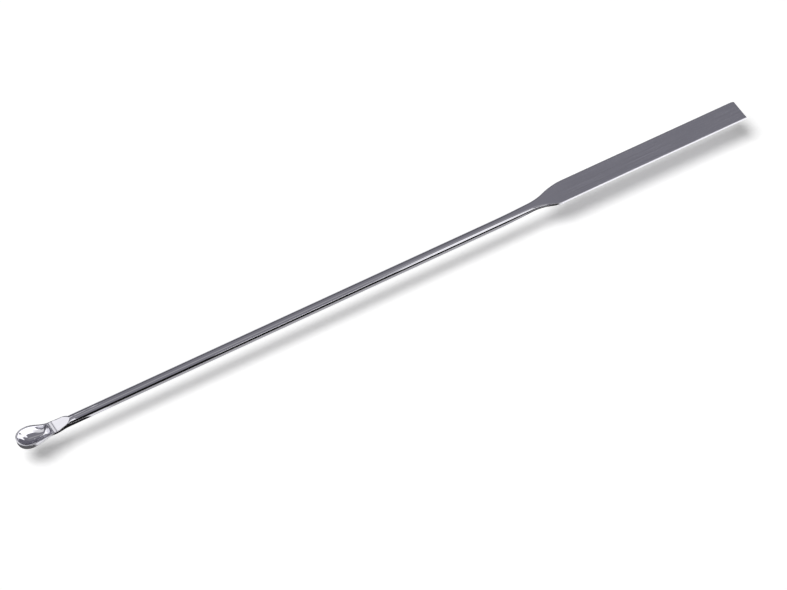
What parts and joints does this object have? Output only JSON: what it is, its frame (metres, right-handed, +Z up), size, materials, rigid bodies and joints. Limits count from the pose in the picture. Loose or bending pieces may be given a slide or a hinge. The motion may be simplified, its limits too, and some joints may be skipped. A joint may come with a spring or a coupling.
{
  "type": "lab spatula",
  "caption": "Slim laboratory micro spatula forged from round metal rod, with a small deep spoon behind a flattened neck at one end and a flat straight blade at the other.",
  "frame": {"origin": "On the surface that the spatula lies on, at the middle of its length and width.", "axes": "+X runs along the rod from the spoon towards the blade, +Y runs across it, and +Z is up, out of the spoon's open side."},
  "size_m": [0.154, 0.0046, 0.002],
  "materials": {
    "steel": "polished rod and spoon, satin blade with fine lengthwise grain"
  },
  "bodies": {
    "root": {"spatula": "steel"}
  },
  "joints": []
}
